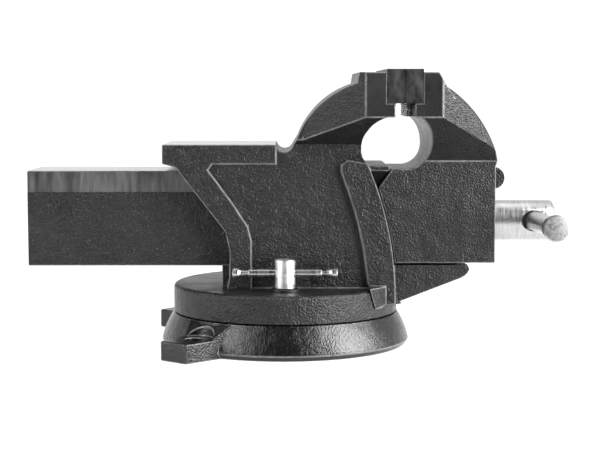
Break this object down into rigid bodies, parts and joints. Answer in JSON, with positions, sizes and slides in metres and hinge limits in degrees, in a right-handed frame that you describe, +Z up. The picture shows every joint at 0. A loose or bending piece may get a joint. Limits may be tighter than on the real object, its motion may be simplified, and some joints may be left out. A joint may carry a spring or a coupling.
{
  "type": "bench vise",
  "caption": "Heavy cast bench vise on a swivel base, with an anvil, pipe jaws, a sliding handle bar and two swivel locks.",
  "frame": {"origin": "the swivel axis at the bench plane", "axes": "+X along the slide towards the handle, +Z up, +Y to the back"},
  "size_m": [0.4136, 0.2264, 0.2166],
  "materials": {
    "black_casting": "semi-gloss black paint over cast grain",
    "gloss_black_casting": "gloss black paint over cast grain",
    "jaw_steel": "blackened hardened steel",
    "bright_steel": "bright turned steel",
    "fastener_steel": "black oxide",
    "nut_bronze": "machined bronze"
  },
  "bodies": {
    "base": {"base_plate": "gloss_black_casting"},
    "swivel_body": {"fixed_body": "black_casting", "jaw_plate_fixed": "jaw_steel", "jaw_screws_fixed": "fastener_steel", "pipe_jaw_fixed": "bright_steel", "pipe_jaw_screws_fixed": "fastener_steel", "spindle_nut": "nut_bronze", "nut_bolts": "fastener_steel", "pivot_bolt": "fastener_steel", "pivot_washer": "fastener_steel", "lock_bolt_front": "fastener_steel", "lock_bolt_back": "fastener_steel", "lock_washer_front": "bright_steel", "lock_washer_back": "bright_steel"},
    "moving_jaw": {"moving_jaw": "black_casting", "jaw_plate_moving": "jaw_steel", "jaw_screws_moving": "fastener_steel", "pipe_jaw_moving": "bright_steel", "pipe_jaw_screws_moving": "fastener_steel", "thrust_washer": "bright_steel"},
    "spindle": {"spindle": "bright_steel", "retaining_collar": "fastener_steel", "collar_washer": "bright_steel", "collar_pin": "fastener_steel"},
    "handle": {"handle_bar": "bright_steel", "handle_cap_near": "bright_steel", "handle_cap_far": "bright_steel"},
    "lock_nut_front": {"lock_nut_front": "bright_steel"},
    "lock_nut_back": {"lock_nut_back": "bright_steel"},
    "lock_bar_front": {"lock_bar_front": "bright_steel", "lock_bar_ends_front": "bright_steel"},
    "lock_bar_back": {"lock_bar_back": "bright_steel", "lock_bar_ends_back": "bright_steel"}
  },
  "joints": [
    {"name": "swivel", "type": "hinge", "parent": "base", "child": "swivel_body", "pos_m": [0, 0, 0.02], "axis": [0, 0, 1], "continuous": true},
    {"name": "jaw_slide", "type": "slide", "parent": "swivel_body", "child": "moving_jaw", "axis": [1, 0, 0], "range_m": [0, 0.1501]},
    {"name": "spindle_turn", "type": "hinge", "parent": "moving_jaw", "child": "spindle", "pos_m": [0.18, 0, 0.0973], "axis": [1, 0, 0], "range_deg": [0, 9000]},
    {"name": "handle_slide", "type": "slide", "parent": "spindle", "child": "handle", "axis": [0, 0.9995, -0.0314], "range_m": [-0.085, 0.085]},
    {"name": "lock_front_turn", "type": "hinge", "parent": "swivel_body", "child": "lock_nut_front", "pos_m": [0, -0.058, 0.0617], "axis": [0, 0, 1], "range_deg": [-10, 10]},
    {"name": "lock_back_turn", "type": "hinge", "parent": "swivel_body", "child": "lock_nut_back", "pos_m": [0, 0.058, 0.0617], "axis": [0, 0, 1], "range_deg": [-10, 10]},
    {"name": "lock_bar_front_slide", "type": "slide", "parent": "lock_nut_front", "child": "lock_bar_front", "axis": [1, 0, 0], "range_m": [-0.009, 0.009]},
    {"name": "lock_bar_back_slide", "type": "slide", "parent": "lock_nut_back", "child": "lock_bar_back", "axis": [1, 0, 0], "range_m": [-0.009, 0.009]}
  ],
  "couplings": [
    {"joint": "jaw_slide", "follows": "spindle_turn", "m_per_rad": 0.00095493}
  ]
}
